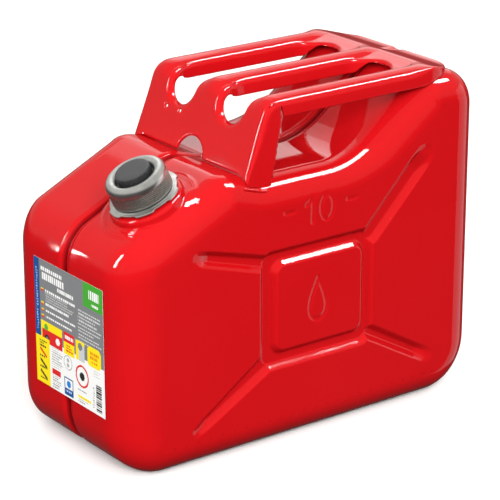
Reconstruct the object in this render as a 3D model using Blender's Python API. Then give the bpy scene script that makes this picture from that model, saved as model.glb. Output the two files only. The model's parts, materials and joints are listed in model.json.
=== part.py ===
"""A 10 litre pressed-steel fuel can with a screw cap, as separate pieces.

Metres, +Z up.  The origin is the centre of the base.  +X runs to the rear, the
filler and the label are at -X, and the two pressed halves meet on the Y = 0 plane.
"""
import math

import bmesh
import bpy
from mathutils import Matrix, Vector

MM = 0.001
GAP = 0.3 * MM                      # room left between neighbouring pieces

# ---- the can's body -------------------------------------------------------
LENGTH = 343 * MM
WIDTH = 165 * MM
SHEET = 1.0 * MM                    # wall thickness of the pressings
ROOF_Z = 216 * MM                   # finger space under the handle
HUMP_Z = 269.5 * MM                 # rear air chamber
CREST = (-73 * MM, 225 * MM)        # top of the sloping shoulder
SHOULDER_Z = 177.5 * MM
EDGE_RADIUS = 22 * MM               # rounding between roof and broad side
FRONT_RADIUS = 34 * MM              # rounding between front wall and broad side
REAR_RADIUS = 26 * MM               # rounding between rear wall and broad side
GROOVE_DEPTH = 4.5 * MM             # recess along the seam
GROOVE_HALF = 3.2 * MM              # half width of the groove's floor
GROOVE_LIP = 4.6 * MM               # half width where the recess meets the wall
ARC_STEPS = 4                       # straight pieces in each corner of the outline

# ---- embossing on the broad sides ----------------------------------------
PAD = (-33 * MM, 47.5 * MM, 78.5 * MM, 146.5 * MM)      # flat of the pad: x0, x1, z0, z1
CHANNEL = (-48 * MM, 60.5 * MM, 64 * MM, 160.5 * MM)    # outer edge of the recess round it
PAD_ROUND = 7 * MM
CHANNEL_ROUND = 10 * MM
CHANNEL_DEPTH = 4.0 * MM
ARM_DEPTH = 3.6 * MM
DRAFT = 3.0 * MM                    # sideways run of a recess wall
ARMS = (                            # start, end, half width at the start and at the end
    ((-46 * MM, 152.5 * MM), (-104 * MM, 169.3 * MM), 7.0 * MM, 6.3 * MM),
    ((-43 * MM, 71 * MM), (-107 * MM, 31 * MM), 8.4 * MM, 4.7 * MM),
    ((59 * MM, 154.5 * MM), (111 * MM, 208 * MM), 8.5 * MM, 9.5 * MM),
    ((59.5 * MM, 72 * MM), (118.5 * MM, 38.5 * MM), 6.2 * MM, 6.1 * MM))

# ---- filler ---------------------------------------------------------------
SLOPE = math.atan2(CREST[1] - SHOULDER_Z, CREST[0] + LENGTH / 2)
NECK_X = -119.6 * MM
NECK_Y = -38.9 * MM
NECK_RADIUS = 20.5 * MM
NECK_BORE = 18 * MM
NECK_TOP = 19 * MM                  # heights are along the filler's axis
COLLAR_RADIUS = 30 * MM
COLLAR_TOP = 8.6 * MM
RING_BORE = 22.6 * MM
RING_RADIUS = 23.9 * MM
RING_FOOT = 12.6 * MM
PITCH = 4 * MM
THREAD_TURNS = 1.2
THREAD_FOOT = 13.4 * MM
BUTTON_RADIUS = 13 * MM
BUTTON_TOP = 34 * MM
FLANGE_RADIUS = 15.6 * MM           # keeps the button behind the ring's lip
FLANGE_FOOT = 25.4 * MM             # clears the seal carrier by more than the button's travel
FLANGE_TOP = 26.6 * MM

# ---- handle ---------------------------------------------------------------
HANDLE_SHEET = 1.6 * MM
HANDLE_HALF = 75.5 * MM
BAR_TOP = 277 * MM
BAR_WIDTH = 21 * MM
BAR_DEPTH = 15 * MM
BAR_PITCH = 65 * MM
BAR_CORNER = 7 * MM                 # rounding along a bar's top
BAR_LIP = 5 * MM                    # turned-in edge under a bar
BEND_RADIUS = 18 * MM               # between the front plate and the bars
PLATE_FOOT_X = -62 * MM
PLATE_FOOT_Z = 204 * MM             # below the roof, trimmed to it
BEND_X = -35 * MM
SLOT_END = 106 * MM                 # rear end of the finger slots
BAR_END = 124 * MM
REAR_PLATE_END = 154 * MM
REAR_PLATE_Z = 271.4 * MM           # height of the rear plate's rear edge
REAR_PLATE_ROUND = 32 * MM          # its rear corners, seen from above

ROUND = 40                          # sides of a turned piece


def clear_scene():
    for old in list(bpy.data.objects):
        bpy.data.objects.remove(old, do_unlink=True)


def make_material(name, color, roughness, metallic=0.0):
    material = bpy.data.materials.new(name)
    material.use_nodes = True
    shader = material.node_tree.nodes["Principled BSDF"]
    shader.inputs["Base Color"].default_value = (*color, 1.0)
    shader.inputs["Roughness"].default_value = roughness
    shader.inputs["Metallic"].default_value = metallic
    return material


def make_object(name, bm, material=None, matrix=None, parent=None, smooth=True):
    bmesh.ops.recalc_face_normals(bm, faces=bm.faces)
    if bm.calc_volume(signed=True) < 0:
        bmesh.ops.reverse_faces(bm, faces=bm.faces)
    mesh = bpy.data.meshes.new(name)
    bm.to_mesh(mesh)
    bm.free()
    if smooth:
        mesh.shade_smooth()
        mesh.set_sharp_from_angle(angle=math.radians(35))
    obj = bpy.data.objects.new(name, mesh)
    bpy.context.scene.collection.objects.link(obj)
    if material:
        mesh.materials.append(material)
    if parent:
        obj.parent = parent
    if matrix:
        obj.matrix_local = matrix
    return obj


def make_cutter(name, bm, matrix=None):
    cutter = make_object(name, bm, matrix=matrix, smooth=False)
    cutter.hide_render = True
    cutter.display_type = 'WIRE'
    return cutter


def boolean(target, cutter, operation='DIFFERENCE'):
    modifier = target.modifiers.new(cutter.name, 'BOOLEAN')
    modifier.operation = operation
    modifier.solver = 'EXACT'
    modifier.object = cutter


def loft(rings, closed=False):
    """A skin through rings of equal length; open ends are capped."""
    bm = bmesh.new()
    loops = [[bm.verts.new(point) for point in ring] for ring in rings]
    pairs = list(zip(loops, loops[1:]))
    if closed:
        pairs.append((loops[-1], loops[0]))
    for lower, upper in pairs:
        for i in range(len(lower)):
            j = (i + 1) % len(lower)
            bm.faces.new((lower[i], lower[j], upper[j], upper[i]))
    if not closed:
        bm.faces.new(loops[0])
        bm.faces.new(loops[-1])
    return bm


def prism(outline, start, direction):
    """An outline of 3-D points pushed along a direction."""
    offset = Vector(start)
    push = Vector(direction)
    lower = [Vector(point) + offset for point in outline]
    return loft([lower, [point + push for point in lower]])


def rounded_outline(corners, steps=ARC_STEPS):
    """Points and outward normals of a clockwise polygon with rounded corners."""
    points, normals = [], []
    count = len(corners)
    for i, (x, z, radius) in enumerate(corners):
        corner = Vector((x, z))
        before = (corner - Vector(corners[i - 1][:2])).normalized()
        after = (Vector(corners[(i + 1) % count][:2]) - corner).normalized()
        turn = before.angle_signed(after)          # positive when clockwise
        normal = Vector((-before.y, before.x))
        side = math.copysign(1.0, turn)
        reach = radius * abs(math.tan(turn / 2))
        centre = corner - before * reach - normal * side * radius
        for k in range(steps + 1):
            swung = Matrix.Rotation(-turn * k / steps, 2) @ normal
            points.append(centre + swung * side * radius)
            normals.append(swung)
    return points, normals


BODY_CORNERS = (
    (-LENGTH / 2, 0, 38 * MM),
    (-LENGTH / 2, SHOULDER_Z, 38 * MM),
    (*CREST, 26 * MM),
    (-42 * MM, ROOF_Z, 30 * MM),
    (50 * MM, ROOF_Z, 75 * MM),
    (119.5 * MM, HUMP_Z, 24 * MM),
    (LENGTH / 2, HUMP_Z, 30 * MM),
    (LENGTH / 2, 0, 44 * MM),
)


def body_rings(side, inset, start, groove=True):
    """Sections of one half of the can, from the seam out to its broad side."""
    points, normals = rounded_outline(BODY_CORNERS)
    rings = []

    def add(y, depth, radius_share=None):
        ring = []
        for point, normal in zip(points, normals):
            end_radius = FRONT_RADIUS if normal.x < 0 else REAR_RADIUS
            radius = EDGE_RADIUS + (end_radius - EDGE_RADIUS) * normal.x ** 2
            if radius_share is None:
                where = y
                total = depth
            else:
                where = WIDTH / 2 - radius + (radius - inset) * math.sin(radius_share)
                total = radius - (radius - inset) * math.cos(radius_share)
            flat = point - normal * total
            ring.append((flat.x, side * where, flat.y))
        rings.append(ring)

    if groove:
        add(start, GROOVE_DEPTH + inset)
        add(GROOVE_HALF + inset * 0.8, GROOVE_DEPTH + inset)
        add(GROOVE_LIP + inset * 0.8, inset)
    else:
        add(start, inset)
    for k in range(5):
        add(0, 0, math.pi / 2 * k / 4)
    return rings


def tapered_slot(start, end, start_radius, end_radius):
    """A slot outline in the XZ plane with half-round ends of two sizes."""
    start, end = Vector(start), Vector(end)
    along = (end - start).normalized()
    across = Vector((-along.y, along.x))
    points = []
    ends = ((start, -along, -across, start_radius), (end, along, across, end_radius))
    for centre, facing, lean, radius in ends:
        for k in range(5):
            angle = math.pi * k / 4
            points.append(centre + (lean * math.cos(angle) + facing * math.sin(angle)) * radius)
    return points


def rounded_box(x0, x1, z0, z1, radius):
    corners = ((x0, z0, radius), (x0, z1, radius), (x1, z1, radius), (x1, z0, radius))
    return rounded_outline(corners, 3)[0]


def embossing(side, inset):
    """Cutters for the recesses of one broad side; inset widens them inside the can."""
    face = WIDTH / 2 + 3 * MM
    slide = 3 * MM * DRAFT / CHANNEL_DEPTH          # the drafted walls run on past the face
    name = "channel_%s_%d" % ("near" if side < 0 else "far", inset > 0)

    def section(outline, y):
        return [(p.x, side * y, p.y) for p in outline]

    def edge(box, grow, radius, y):
        x0, x1, z0, z1 = box
        return section(rounded_box(x0 - grow, x1 + grow, z0 - grow, z1 + grow, radius), y)

    floor = WIDTH / 2 - CHANNEL_DEPTH - inset
    rings = [edge(CHANNEL, inset + slide, CHANNEL_ROUND, face),
             edge(CHANNEL, inset - DRAFT, CHANNEL_ROUND, floor),
             edge(PAD, DRAFT - inset, PAD_ROUND, floor),
             edge(PAD, -inset - slide, PAD_ROUND, face)]
    cutters = [make_cutter(name, loft(rings, closed=True))]

    floor = WIDTH / 2 - ARM_DEPTH - inset
    for number, (start, end, start_half, end_half) in enumerate(ARMS):
        rings = []
        for grow, y in ((inset + slide, face), (inset - DRAFT, floor)):
            rings.append(section(tapered_slot(start, end, start_half + grow, end_half + grow), y))
        cutters.append(make_cutter("%s_arm_%d" % (name, number), loft(rings)))
    return cutters


def filler_matrix():
    """Places a turned piece on the filler's axis, square to the sloping shoulder."""
    height = SHOULDER_Z + math.tan(SLOPE) * (NECK_X + LENGTH / 2)
    return Matrix.Translation((NECK_X, NECK_Y, height)) @ Matrix.Rotation(-SLOPE, 4, 'Y')


def turned(profile, sides=ROUND, sweep=2 * math.pi):
    """A profile of (radius, height) points turned about the Z axis."""
    whole = sweep > 2 * math.pi - 0.001
    count = sides if whole else sides + 1
    rings = []
    for k in range(count):
        angle = sweep * k / sides
        rings.append([(r * math.cos(angle), r * math.sin(angle), h) for r, h in profile])
    return loft(rings, closed=whole)


def swept_rings(path, section, up):
    """A closed section of (across, up) points, placed square to each point of a path."""
    rings = []
    for i, point in enumerate(path):
        ahead = Vector(path[min(i + 1, len(path) - 1)])
        behind = Vector(path[max(i - 1, 0)])
        along = (ahead - behind).normalized()
        across = along.cross(Vector(up)).normalized()
        lift = across.cross(along)
        rings.append([Vector(point) + across * a + lift * b for a, b in section])
    return rings


def swept(path, section):
    return loft(swept_rings(path, section, (0, 0, 1)))


def circle(radius, sides):
    return [(radius * math.cos(2 * math.pi * k / sides), radius * math.sin(2 * math.pi * k / sides))
            for k in range(sides)]


def thread_ridge(root, crest, foot, phase):
    """A helical ridge with tapering ends, about the Z axis."""
    steps = int(24 * THREAD_TURNS)
    rings = []
    for k in range(steps + 1):
        share = k / steps
        angle = phase + 2 * math.pi * THREAD_TURNS * share
        height = foot + PITCH * THREAD_TURNS * share
        fade = min(1.0, 5 * share + 0.15, 5 * (1 - share) + 0.15)
        tip = root + (crest - root) * fade
        outward = Vector((math.cos(angle), math.sin(angle), 0))
        rings.append([outward * r + Vector((0, 0, height + h)) for r, h in
                      ((root, -0.8 * MM), (tip, -0.4 * MM), (tip, 0.4 * MM), (root, 0.8 * MM))])
    return loft(rings)


def build_shells(red):
    """Two mirrored pressings; only the near one is pierced for the filler."""
    near = make_object("body_shell_near", loft(body_rings(-1, 0, GAP / 2)), red)
    for cutter in embossing(-1, 0):
        boolean(near, cutter)
    hollow = make_cutter("hollow_near", loft(body_rings(-1, SHEET, -2 * MM)))
    for cutter in embossing(-1, SHEET):
        boolean(hollow, cutter)
    boolean(near, hollow)

    pressed = near.evaluated_get(bpy.context.evaluated_depsgraph_get())
    bm = bmesh.new()
    bm.from_mesh(pressed.to_mesh())
    bmesh.ops.scale(bm, vec=(1, -1, 1), verts=bm.verts)
    make_object("body_shell_far", bm, red)

    profile = ((0, -30 * MM), (NECK_RADIUS + GAP, -30 * MM), (NECK_RADIUS + GAP, 30 * MM), (0, 30 * MM))
    boolean(near, make_cutter("neck_hole", turned_solid(profile, ROUND), filler_matrix()))


def body_form(name, grow):
    """The can's outer form, a little larger, to trim what sits on it."""
    far = body_rings(1, -grow, 0, groove=False)
    near = body_rings(-1, -grow, 0, groove=False)
    return make_cutter(name, loft(near[:0:-1] + far))


def build_seam_weld(red):
    points, normals = rounded_outline(BODY_CORNERS)
    half = 1.6 * MM
    outside = GROOVE_DEPTH - GAP
    inside = GROOVE_DEPTH - 1.9 * MM

    def ring(depth, y):
        flat = [point - normal * depth for point, normal in zip(points, normals)]
        return [(p.x, y, p.y) for p in flat]

    rings = [ring(outside, -half), ring(inside, -half * 0.5), ring(inside, half * 0.5), ring(outside, half)]
    make_object("seam_weld", loft(rings, closed=True), red)


def plate_section(half):
    """The front plate and its bend, as a strip in the XZ plane, full width."""
    lean = Vector((BEND_X - PLATE_FOOT_X, 0, BAR_TOP - PLATE_FOOT_Z)).normalized()
    foot = Vector((PLATE_FOOT_X, 0, PLATE_FOOT_Z))
    turn = lean.angle(Vector((1, 0, 0)))
    reach = BEND_RADIUS * math.tan(turn / 2)
    corner = foot + lean * ((BAR_TOP - PLATE_FOOT_Z) / lean.z)
    centre = Vector((corner.x + reach, 0, BAR_TOP - BEND_RADIUS))
    steps = 6
    outer, inner = [foot], []
    back = Vector((lean.z, 0, -lean.x)) * HANDLE_SHEET
    inner.append(foot + back)
    for k in range(steps + 1):
        angle = math.pi / 2 + turn * (1 - k / steps)
        facing = Vector((math.cos(angle), 0, math.sin(angle)))
        outer.append(centre + facing * BEND_RADIUS)
        inner.append(centre + facing * (BEND_RADIUS - HANDLE_SHEET))
    tail = 8 * MM
    outer.append(outer[-1] + Vector((tail, 0, 0)))
    inner.append(inner[-1] + Vector((tail, 0, 0)))
    return [p + Vector((0, -half, 0)) for p in outer + inner[::-1]]


def bar_section(centre_y):
    """A bar's folded channel in the YZ plane, open underneath with turned-in lips."""
    half = BAR_WIDTH / 2
    top = BAR_TOP + 0.15 * MM
    foot = BAR_TOP - BAR_DEPTH

    def left_half(shrink):
        points = [(-half + BAR_LIP, foot + shrink), (-half + shrink, foot + shrink)]
        for k in range(4):
            angle = math.pi - math.pi / 2 * k / 3
            points.append((-half + BAR_CORNER + (BAR_CORNER - shrink) * math.cos(angle),
                           top - BAR_CORNER + (BAR_CORNER - shrink) * math.sin(angle)))
        return points

    outer = left_half(0)
    inner = left_half(HANDLE_SHEET)
    outline = outer + [(-y, z) for y, z in outer[::-1]] + [(-y, z) for y, z in inner] + inner[::-1]
    return [Vector((0, centre_y + y, z)) for y, z in outline]


def rear_plate():
    """The plate that joins the bars behind the slots, with its folded and rounded rim."""
    half = HANDLE_HALF - GAP
    foot = HUMP_Z - 12 * MM                         # below the hump, trimmed to it
    top = BAR_TOP - 0.2 * MM

    def rim(inset):
        radius = REAR_PLATE_ROUND - inset
        points = []
        for k in range(7):
            angle = -math.pi / 2 + math.pi / 2 * k / 6
            points.append((REAR_PLATE_END - REAR_PLATE_ROUND + radius * math.cos(angle),
                           REAR_PLATE_ROUND - half + radius * math.sin(angle)))
        return points + [(x, -y) for x, y in points[::-1]]

    def above(drop):
        points = ((SLOT_END - 9 * MM, top), (BAR_END, top), (REAR_PLATE_END - 8 * MM, REAR_PLATE_Z),
                  (REAR_PLATE_END + 9 * MM, REAR_PLATE_Z), (REAR_PLATE_END + 9 * MM, 300 * MM),
                  (SLOT_END - 9 * MM, 300 * MM))
        outline = [(x, -90 * MM, z - drop) for x, z in points]
        return make_cutter("above_%d" % (drop > 0), prism(outline, (0, 0, 0), (0, 180 * MM, 0)))

    def block(name, outline):
        flat = [(x, y, foot - 9 * MM) for x, y in outline]
        return make_cutter(name, prism(flat, (0, 0, 0), (0, 0, 40 * MM)))

    plate = block("rear_plate", [(SLOT_END, -half)] + rim(0) + [(SLOT_END, half)])
    boolean(plate, above(0))
    start = BAR_END - 4 * MM
    wide = [(start, 90 * MM), (SLOT_END - 5 * MM, 90 * MM), (SLOT_END - 5 * MM, -90 * MM), (start, -90 * MM)]
    skirt = half - HANDLE_SHEET
    under = block("under_rear_plate", [(start, -skirt)] + rim(HANDLE_SHEET) + [(start, skirt)] + wide)
    boolean(under, above(HANDLE_SHEET))
    boolean(plate, under)
    return plate


def build_handle(red):
    """One stamped sheet: front plate, three bars and the rear plate."""
    half = HANDLE_HALF
    handle = make_object("handle_pressing", prism(plate_section(half), (0, 0, 0), (0, 2 * half, 0)), red)

    slot_half = (BAR_PITCH - BAR_WIDTH) / 2
    for side in (-1, 1):
        middle = side * BAR_PITCH / 2
        outline = []
        for k in range(9):
            angle = math.pi + math.pi * k / 8
            outline.append(Vector((-90 * MM, middle + slot_half * math.cos(angle),
                                   268 * MM + 16 * MM * math.sin(angle))))
        outline.append(Vector((-90 * MM, middle + slot_half, 300 * MM)))
        outline.append(Vector((-90 * MM, middle - slot_half, 300 * MM)))
        slot = make_cutter("finger_slot_%d" % (side > 0), prism(outline, (0, 0, 0), (150 * MM, 0, 0)))
        boolean(handle, slot)

    for number, centre in enumerate((-BAR_PITCH, 0, BAR_PITCH)):
        section = bar_section(centre)
        start = BEND_X + 2 * MM
        bar = make_cutter("bar_%d" % number, prism(section, (start, 0, 0), (BAR_END - start, 0, 0)))
        boolean(handle, bar, 'UNION')

    boolean(handle, rear_plate(), 'UNION')

    for side in (-1, 1):
        flange = [Vector((x, 0, z)) for x, z in
                  ((PLATE_FOOT_X + 1 * MM, PLATE_FOOT_Z), (BEND_X + 9 * MM, BAR_TOP - 3 * MM),
                   (BEND_X + 20 * MM, BAR_TOP - 3 * MM), (BEND_X + 12 * MM, BAR_TOP - BAR_DEPTH),
                   (PLATE_FOOT_X + 25 * MM, PLATE_FOOT_Z))]
        start = side * half - (HANDLE_SHEET if side > 0 else 0)
        shift = -side * 0.1 * MM
        cheek = make_cutter("cheek_%d" % (side > 0),
                            prism(flange, (0, start + shift, 0), (0, HANDLE_SHEET, 0)))
        boolean(handle, cheek, 'UNION')

    arch = []
    for k in range(9):
        angle = math.pi * k / 8
        arch.append(Vector((-90 * MM, 17 * MM * math.cos(angle), 221 * MM + 14 * MM * math.sin(angle))))
    arch += [Vector((-90 * MM, -17 * MM, 190 * MM)), Vector((-90 * MM, 17 * MM, 190 * MM))]
    boolean(handle, make_cutter("seam_arch", prism(arch, (0, 0, 0), (60 * MM, 0, 0))))

    boolean(handle, body_form("roof_trim", GAP))


def build_handle_welds(red):
    """Beads along the feet of the handle's cheeks and behind its rear plate."""
    bead = 1.3 * MM
    section = circle(bead, 8)
    away = HANDLE_HALF + GAP + bead + 0.2 * MM
    for side, name in ((-1, "near"), (1, "far")):
        path = [(x * MM, side * away, z * MM) for x, z in ((-61, 215.0), (-50, 211.8), (-39, 209.4))]
        weld = make_object("handle_weld_" + name, swept(path, section), red)
        boolean(weld, body_form("weld_trim_" + name, 2 * GAP))
    path = [(REAR_PLATE_END + GAP + bead, y * MM, HUMP_Z - 2.4 * MM) for y in (-41, 41)]
    weld = make_object("handle_weld_rear", swept(path, section), red)
    boolean(weld, body_form("weld_trim_rear", 2 * GAP))


def build_filler(red, steel):
    place = filler_matrix()
    collar = ((NECK_RADIUS + GAP, -8 * MM), (COLLAR_RADIUS, -8 * MM), (COLLAR_RADIUS, 3.0 * MM),
              (COLLAR_RADIUS - 0.8 * MM, 5.6 * MM), (COLLAR_RADIUS - 3 * MM, 7.6 * MM),
              (COLLAR_RADIUS - 6 * MM, COLLAR_TOP), (NECK_RADIUS + GAP, COLLAR_TOP))
    piece = make_object("neck_collar", turned(collar), red, place)
    boolean(piece, body_form("collar_trim", GAP))

    tube = ((NECK_BORE, -10 * MM), (NECK_RADIUS, -10 * MM), (NECK_RADIUS, NECK_TOP - 0.8 * MM),
            (NECK_RADIUS - 0.8 * MM, NECK_TOP), (NECK_BORE, NECK_TOP))
    neck = make_object("filler_neck", turned(tube), steel, place)
    ridge = thread_ridge(NECK_RADIUS - 0.5 * MM, NECK_RADIUS + 1.5 * MM, THREAD_FOOT, 0)
    boolean(neck, make_cutter("neck_thread", ridge, place), 'UNION')


def cap_axis_empty(name, place):
    empty = bpy.data.objects.new(name, None)
    empty.matrix_world = place
    bpy.context.scene.collection.objects.link(empty)
    return empty


def build_cap(steel, dark_steel, rubber, brass):
    """The knurled ring and its skirt turn; the sealing disc only rises; the button dips."""
    place = filler_matrix()
    core = cap_axis_empty("cap_lift_axis", place)
    ring_axis = cap_axis_empty("cap_turn_axis", place)
    button_axis = cap_axis_empty("button_axis", place)

    ring_profile = ((RING_BORE, RING_FOOT), (RING_RADIUS, RING_FOOT), (RING_RADIUS, 24.6 * MM),
                    (23.5 * MM, 27.2 * MM), (22.2 * MM, 29.4 * MM), (20.0 * MM, 30.8 * MM),
                    (17.6 * MM, 31.0 * MM), (15.7 * MM, 30.0 * MM), (14.6 * MM, 28.2 * MM),
                    (14.6 * MM, 27.0 * MM), (20.6 * MM, 27.0 * MM), (RING_BORE, 25.6 * MM))
    ring = make_object("cap_ring", turned(ring_profile), steel, parent=ring_axis)
    ridge = thread_ridge(RING_BORE + 0.5 * MM, RING_BORE - 1.5 * MM, THREAD_FOOT, math.pi)
    boolean(ring, make_cutter("ring_thread", ridge, place), 'UNION')

    rings = []
    lobes = 6
    steps = 48
    for k in range(steps):
        angle = 2 * math.pi * k / steps
        wave = max(-0.55, min(0.55, math.cos(lobes * angle))) / 0.55
        reach = 27.6 * MM + 1.0 * MM * wave
        rings.append([(r * math.cos(angle), r * math.sin(angle), h) for r, h in
                      ((22.8 * MM, 9.9 * MM), (reach - 0.5 * MM, 9.7 * MM), (reach, 10.3 * MM),
                       (reach - 0.6 * MM, 11.4 * MM), (24.4 * MM, 12.2 * MM), (22.8 * MM, 12.2 * MM))])
    make_object("cap_skirt", loft(rings, closed=True), steel, parent=ring_axis)

    snap = ((21.6 * MM, 20.5 * MM), (22.3 * MM, 20.5 * MM), (22.3 * MM, 21.2 * MM), (21.6 * MM, 21.2 * MM))
    make_object("snap_ring", turned(snap, 32, math.radians(330)), dark_steel, parent=ring_axis)

    carrier = ((5 * MM, 21.6 * MM), (22.2 * MM, 21.6 * MM), (22.2 * MM, 22.6 * MM),
               (14 * MM, 23.2 * MM), (5 * MM, 23.2 * MM))
    make_object("seal_carrier", turned(carrier), steel, parent=core)
    gasket = ((17.6 * MM, 19.3 * MM), (21.2 * MM, 19.3 * MM), (21.2 * MM, 21.3 * MM), (17.6 * MM, 21.3 * MM))
    make_object("cap_gasket", turned(gasket), rubber, parent=core)

    button = ((11.2 * MM, FLANGE_FOOT), (FLANGE_RADIUS, FLANGE_FOOT), (FLANGE_RADIUS, FLANGE_TOP),
              (BUTTON_RADIUS, FLANGE_TOP), (BUTTON_RADIUS, BUTTON_TOP - 1.0 * MM),
              (BUTTON_RADIUS - 0.9 * MM, BUTTON_TOP),
              (0, BUTTON_TOP), (0, BUTTON_TOP - 1.8 * MM), (11.2 * MM, BUTTON_TOP - 1.8 * MM))
    make_object("relief_button", turned_cup(button), dark_steel, parent=button_axis)
    stem = ((0, 20.4 * MM), (2 * MM, 20.4 * MM), (2 * MM, 31.0 * MM), (5 * MM, 31.0 * MM),
            (5 * MM, 31.9 * MM), (0, 31.9 * MM))
    make_object("relief_stem", turned_solid(stem, 20), brass, parent=button_axis)
    disc = ((0, 18.7 * MM), (9 * MM, 18.7 * MM), (9 * MM, 20.1 * MM), (0, 20.1 * MM))
    make_object("valve_disc", turned_solid(disc, 28), steel, parent=button_axis)
    seal = ((5.6 * MM, 20.4 * MM), (8.6 * MM, 20.4 * MM), (8.6 * MM, 21.3 * MM), (5.6 * MM, 21.3 * MM))
    make_object("valve_seal", turned(seal, 28), rubber, parent=button_axis)

    turns = 3.5
    coil = []
    steps = int(14 * turns)
    for k in range(steps + 1):
        angle = 2 * math.pi * turns * k / steps
        height = 24.2 * MM + 7.0 * MM * k / steps
        coil.append((8.2 * MM * math.cos(angle), 8.2 * MM * math.sin(angle), height))
    make_object("relief_spring", swept(coil, circle(0.6 * MM, 6)), dark_steel, parent=button_axis)


def turned_solid(profile, sides):
    """A turned solid whose profile starts and ends on the axis."""
    bm = bmesh.new()
    bottom = bm.verts.new((0, 0, profile[0][1]))
    top = bm.verts.new((0, 0, profile[-1][1]))
    loops = []
    for r, h in profile[1:-1]:
        loops.append([bm.verts.new((r * math.cos(a), r * math.sin(a), h)) for a in
                      (2 * math.pi * k / sides for k in range(sides))])
    for lower, upper in zip(loops, loops[1:]):
        for i in range(sides):
            j = (i + 1) % sides
            bm.faces.new((lower[i], lower[j], upper[j], upper[i]))
    for i in range(sides):
        j = (i + 1) % sides
        bm.faces.new((loops[0][j], loops[0][i], bottom))
        bm.faces.new((loops[-1][i], loops[-1][j], top))
    return bm


def turned_cup(profile):
    """A turned cup: the profile's two axis points are its outer and inner middle."""
    sides = ROUND
    bm = bmesh.new()
    loops = []
    for r, h in profile:
        if r == 0:
            loops.append([bm.verts.new((0, 0, h))])
        else:
            loops.append([bm.verts.new((r * math.cos(a), r * math.sin(a), h)) for a in
                          (2 * math.pi * k / sides for k in range(sides))])
    for lower, upper in zip(loops, loops[1:] + loops[:1]):
        if len(lower) == 1 and len(upper) == 1:
            continue
        for i in range(sides):
            j = (i + 1) % sides
            if len(lower) == 1:
                bm.faces.new((lower[0], upper[j], upper[i]))
            elif len(upper) == 1:
                bm.faces.new((lower[i], lower[j], upper[0]))
            else:
                bm.faces.new((lower[i], lower[j], upper[j], upper[i]))
    return bm


def build_vent(steel):
    """The breather tube from the filler to the air chamber in the hump."""
    knots = [Vector(k) * MM for k in
             ((-88, -26, 196), (-60, -24, 203), (-20, -22, 205), (30, -22, 205), (62, -22, 212),
              (92, -22, 234), (112, -22, 252))]
    path = []
    for a, b, c, d in zip([knots[0]] + knots, knots, knots[1:], knots[2:] + [knots[-1]]):
        for k in range(3):
            t = k / 3
            path.append(0.5 * (2 * b + (c - a) * t + (2 * a - 5 * b + 4 * c - d) * t * t
                               + (3 * b - a - 3 * c + d) * t * t * t))
    path.append(knots[-1])
    outer = swept_rings(path, circle(4 * MM, 10), (0, 1, 0))
    inner = swept_rings(path, circle(3 * MM, 10), (0, 1, 0))
    make_object("vent_pipe", loft(outer + inner[::-1], closed=True), steel)

    strap = ((5 * MM, -3 * MM), (6.2 * MM, -3 * MM), (6.2 * MM, 3 * MM), (5 * MM, 3 * MM))
    centre = Matrix.Translation((5 * MM, -22 * MM, 205.2 * MM)) @ Matrix.Rotation(math.pi / 2, 4, 'Y')
    clip = make_object("vent_clip", turned(strap, 16), steel, centre)
    tab = bmesh.new()
    bmesh.ops.create_cube(tab, size=1.0)
    bmesh.ops.scale(tab, vec=(5 * MM, 18 * MM, 3.8 * MM), verts=tab.verts)
    lift = Matrix.Translation((5 * MM, -22 * MM, 212.7 * MM))
    boolean(clip, make_cutter("clip_tab", tab, lift), 'UNION')


def build_label(paper):
    x = -LENGTH / 2 - GAP
    corners = rounded_box(-54 * MM, 42 * MM, 48.5 * MM, 151 * MM, 1.5 * MM)
    outline = [Vector((x, p.x, p.y)) for p in corners]
    make_object("label", prism(outline, (0, 0, 0), (-0.3 * MM, 0, 0)), paper)


def main():
    clear_scene()
    red = make_material("red_paint", (0.78, 0.02, 0.018), 0.2)
    steel = make_material("plated_steel", (0.62, 0.63, 0.60), 0.35, 1.0)
    dark_steel = make_material("dark_steel", (0.16, 0.165, 0.17), 0.4, 0.9)
    rubber = make_material("fuel_rubber", (0.02, 0.02, 0.02), 0.8)
    brass = make_material("brass", (0.7, 0.5, 0.22), 0.35, 1.0)
    paper = make_material("label_film", (0.8, 0.8, 0.8), 0.4)
    build_shells(red)
    build_seam_weld(red)
    build_handle(red)
    build_handle_welds(red)
    build_filler(red, steel)
    build_vent(steel)
    build_cap(steel, dark_steel, rubber, brass)
    build_label(paper)


main()
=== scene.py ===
"""Looks of the pressed-steel fuel can: fine shells, handle, cap, label, paint, light and camera."""
import json
import math

import bpy
import numpy as np
from mathutils import Matrix, Vector
from mathutils.geometry import delaunay_2d_cdt

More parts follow.
